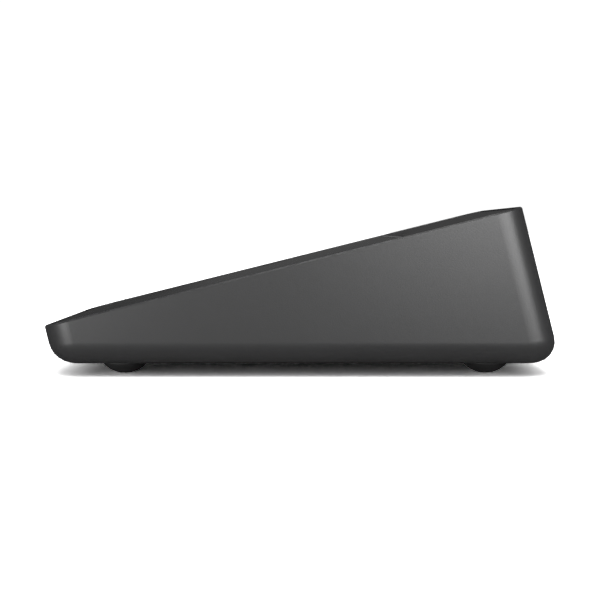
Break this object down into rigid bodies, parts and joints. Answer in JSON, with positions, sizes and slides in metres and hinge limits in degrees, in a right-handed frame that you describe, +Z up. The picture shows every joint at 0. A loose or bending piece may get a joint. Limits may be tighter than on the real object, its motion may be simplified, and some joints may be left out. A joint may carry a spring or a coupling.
{
  "type": "card payment terminal",
  "caption": "Wedge-shaped countertop card payment terminal with a sloping glass top, flip-up receipt printer lid, chip card slot and domed rubber feet.",
  "frame": {"origin": "centre of the footprint, on the surface that the feet stand on", "axes": "+Z up, -Y towards the person who taps the screen, +Y towards the tall rear end, +X to the right-hand side"},
  "size_m": [0.086, 0.1924, 0.0634],
  "materials": {
    "housing": "fine matte moulded",
    "dark_plastic": "matte",
    "black_glass": "polished",
    "rubber": "soft matte",
    "steel": "satin",
    "aluminium": "satin",
    "nylon": "smooth",
    "paper": "plain paper",
    "cardboard": "plain cardboard",
    "circuit": "solder mask",
    "film": "flexible film",
    "battery": "shrink wrap"
  },
  "bodies": {
    "base": {"battery_door": "housing", "battery_door_screw": "steel", "battery_pack": "battery", "board_screw_front_left": "steel", "board_screw_front_right": "steel", "board_screw_rear_left": "steel", "board_screw_rear_right": "steel", "card_reader": "dark_plastic", "card_reader_board": "circuit", "card_slot_bezel": "dark_plastic", "coin_cell": "steel", "contactless_antenna": "film", "cover_glass": "black_glass", "display_flex": "film", "display_frame": "dark_plastic", "display_panel": "black_glass", "feed_motor": "steel", "foot_front_left": "rubber", "foot_front_right": "rubber", "foot_rear_left": "rubber", "foot_rear_right": "rubber", "head_flex": "film", "head_spring_left": "steel", "head_spring_right": "steel", "hinge_pin": "steel", "housing": "housing", "housing_screw_front_left": "steel", "housing_screw_front_right": "steel", "housing_screw_rear_left": "steel", "housing_screw_rear_right": "steel", "main_board": "circuit", "paper_sensor": "dark_plastic", "port_board": "circuit", "power_switch": "circuit", "printer_chassis": "dark_plastic", "processor_shield": "steel", "radio_shield": "steel", "speaker": "dark_plastic", "tear_bar": "steel", "usb_receptacle": "steel"},
    "cover": {"printer_cover": "housing", "platen_bushing_left": "nylon", "platen_bushing_right": "nylon"},
    "platen": {"platen_rubber": "rubber", "platen_shaft": "steel", "platen_gear": "nylon"},
    "first_idler": {"first_idler_gear": "nylon"},
    "second_idler": {"second_idler_gear": "nylon"},
    "motor_rotor": {"motor_pinion": "nylon"},
    "print_head": {"print_head": "nylon", "head_heat_sink": "aluminium"},
    "paper_roll": {"paper_roll": "paper", "roll_core": "cardboard"},
    "power_button": {"power_button": "dark_plastic"}
  },
  "joints": [
    {"name": "cover_hinge", "type": "hinge", "parent": "base", "child": "cover", "pos_m": [0, 0.0772, 0.05856], "axis": [-1, 0, 0], "range_deg": [0, 95]},
    {"name": "platen_spin", "type": "hinge", "parent": "cover", "child": "platen", "pos_m": [0, 0.04547, 0.0457], "axis": [1, 0, 0], "continuous": true},
    {"name": "first_idler_spin", "type": "hinge", "parent": "base", "child": "first_idler", "pos_m": [0, 0.04889, 0.03614], "axis": [1, 0, 0], "continuous": true},
    {"name": "second_idler_spin", "type": "hinge", "parent": "base", "child": "second_idler", "pos_m": [0, 0.03796, 0.03084], "axis": [1, 0, 0], "continuous": true},
    {"name": "motor_spin", "type": "hinge", "parent": "base", "child": "motor_rotor", "pos_m": [0, 0.02881, 0.03104], "axis": [1, 0, 0], "continuous": true},
    {"name": "head_pivot", "type": "hinge", "parent": "base", "child": "print_head", "pos_m": [0, 0.03964, 0.03662], "axis": [1, 0, 0], "range_deg": [0, 1.5], "stiffness_Nm_per_rad": 0.5},
    {"name": "paper_roll_spin", "type": "hinge", "parent": "base", "child": "paper_roll", "pos_m": [0, 0.06588, 0.03121], "axis": [1, 0, 0], "continuous": true},
    {"name": "power_button_slide", "type": "slide", "parent": "base", "child": "power_button", "axis": [1, 0, 0], "range_m": [0, 0.0008], "stiffness_N_per_m": 400}
  ],
  "couplings": [
    {"joint": "first_idler_spin", "follows": "platen_spin", "ratio": -0.66667},
    {"joint": "second_idler_spin", "follows": "platen_spin", "ratio": 0.66667},
    {"joint": "motor_spin", "follows": "platen_spin", "ratio": -1.3333}
  ]
}
